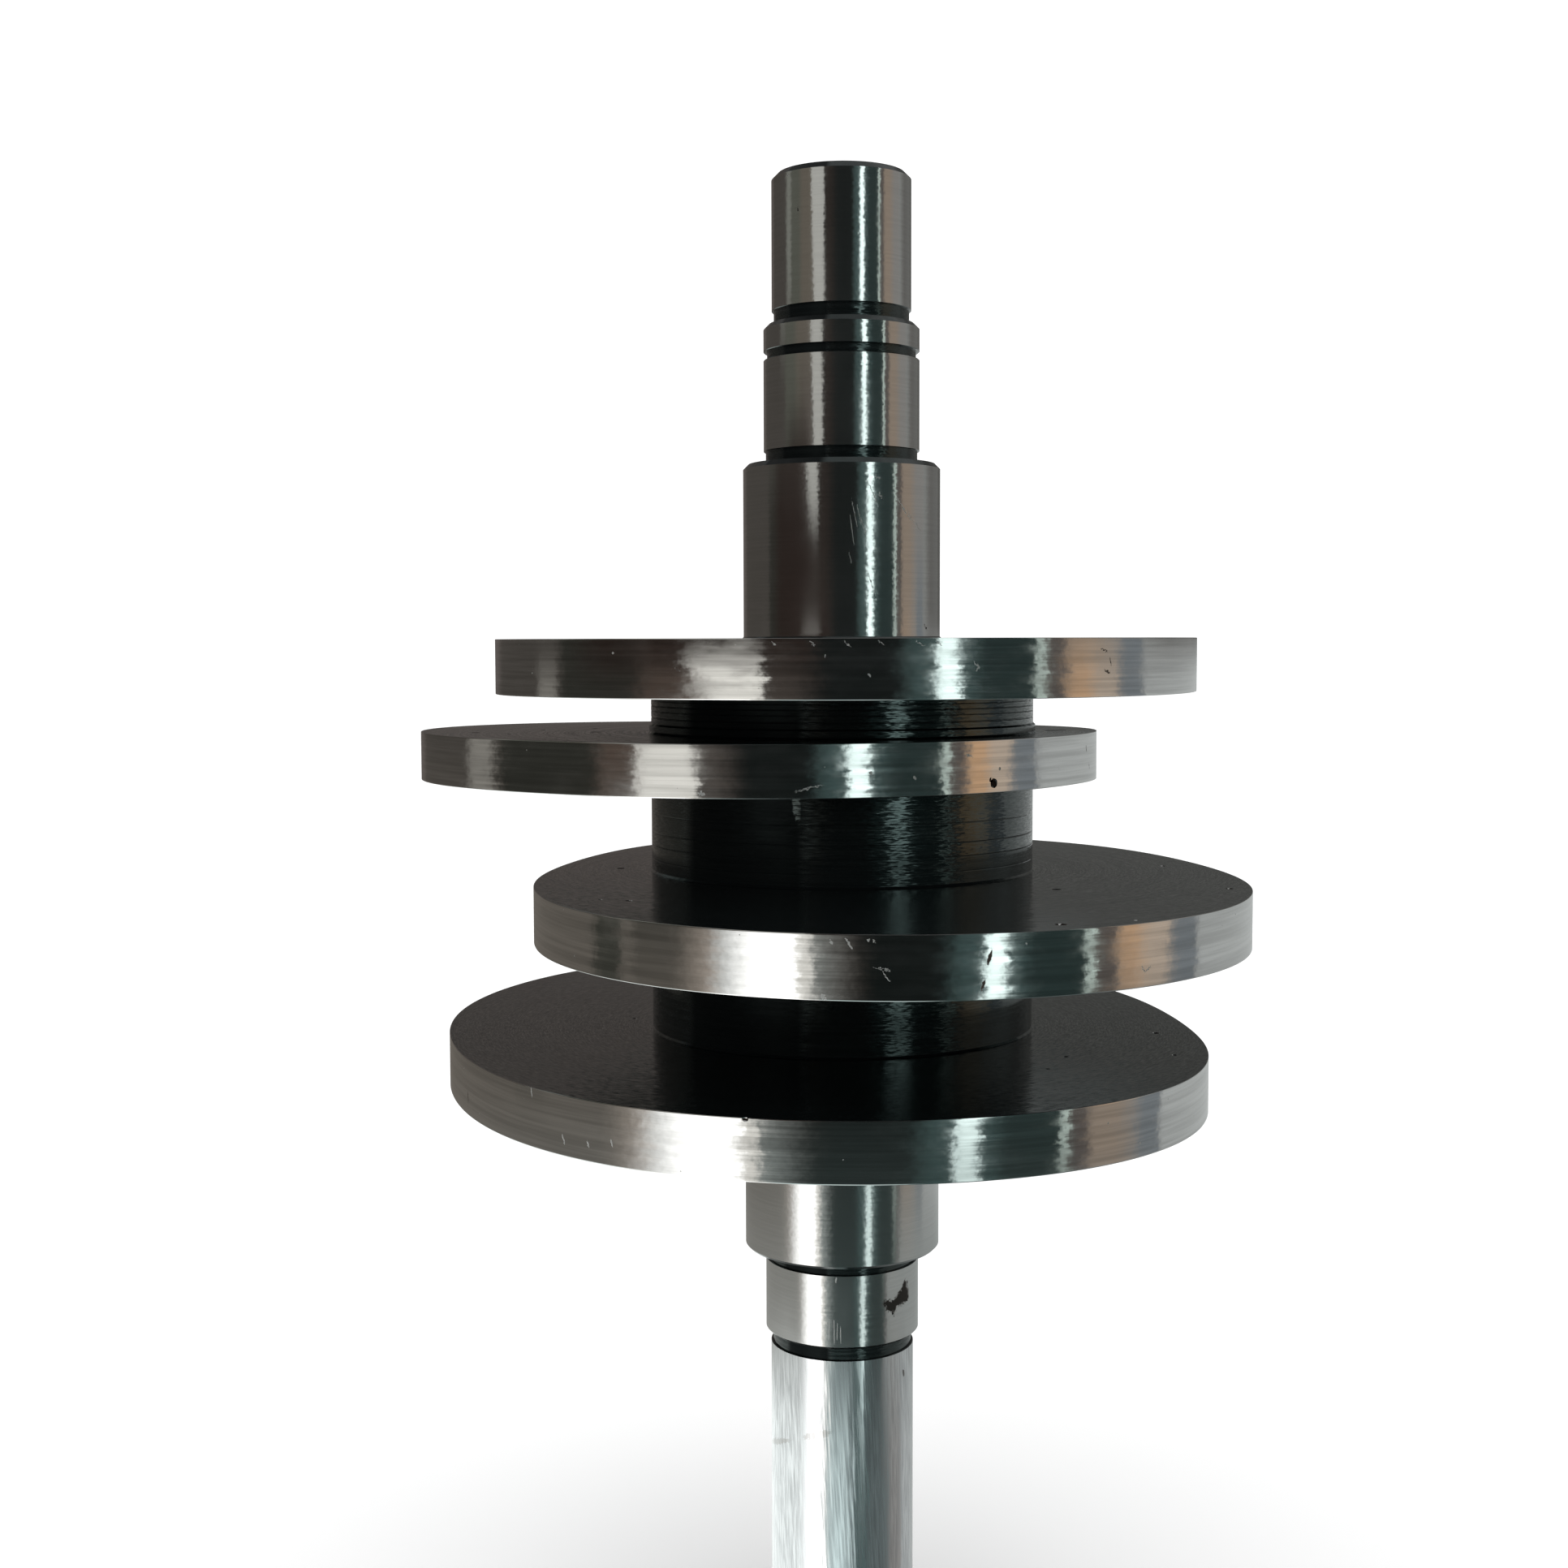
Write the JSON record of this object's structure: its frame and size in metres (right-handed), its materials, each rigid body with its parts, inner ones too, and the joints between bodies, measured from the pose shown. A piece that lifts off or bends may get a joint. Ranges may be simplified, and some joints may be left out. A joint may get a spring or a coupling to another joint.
{
  "type": "camshaft",
  "caption": "Steel camshaft that turns to move followers: flat plate cams of differing smooth outlines on a round hub, with ground journals, bearing seats and shaft ends",
  "frame": {"origin": "centre of the flat lower end of the shaft, which the camshaft stands on", "axes": "+Z along the shaft's axis to the drive stub; -Y is the side that the picture shows, +X is to the right there"},
  "size_m": [0.1565, 0.1873, 0.2852],
  "materials": {
    "steel": "ground bright on the journals, seats and cam rims, smooth black oxide on the hub, cam faces and grooves"
  },
  "bodies": {
    "root": {"camshaft": "steel"}
  },
  "joints": []
}
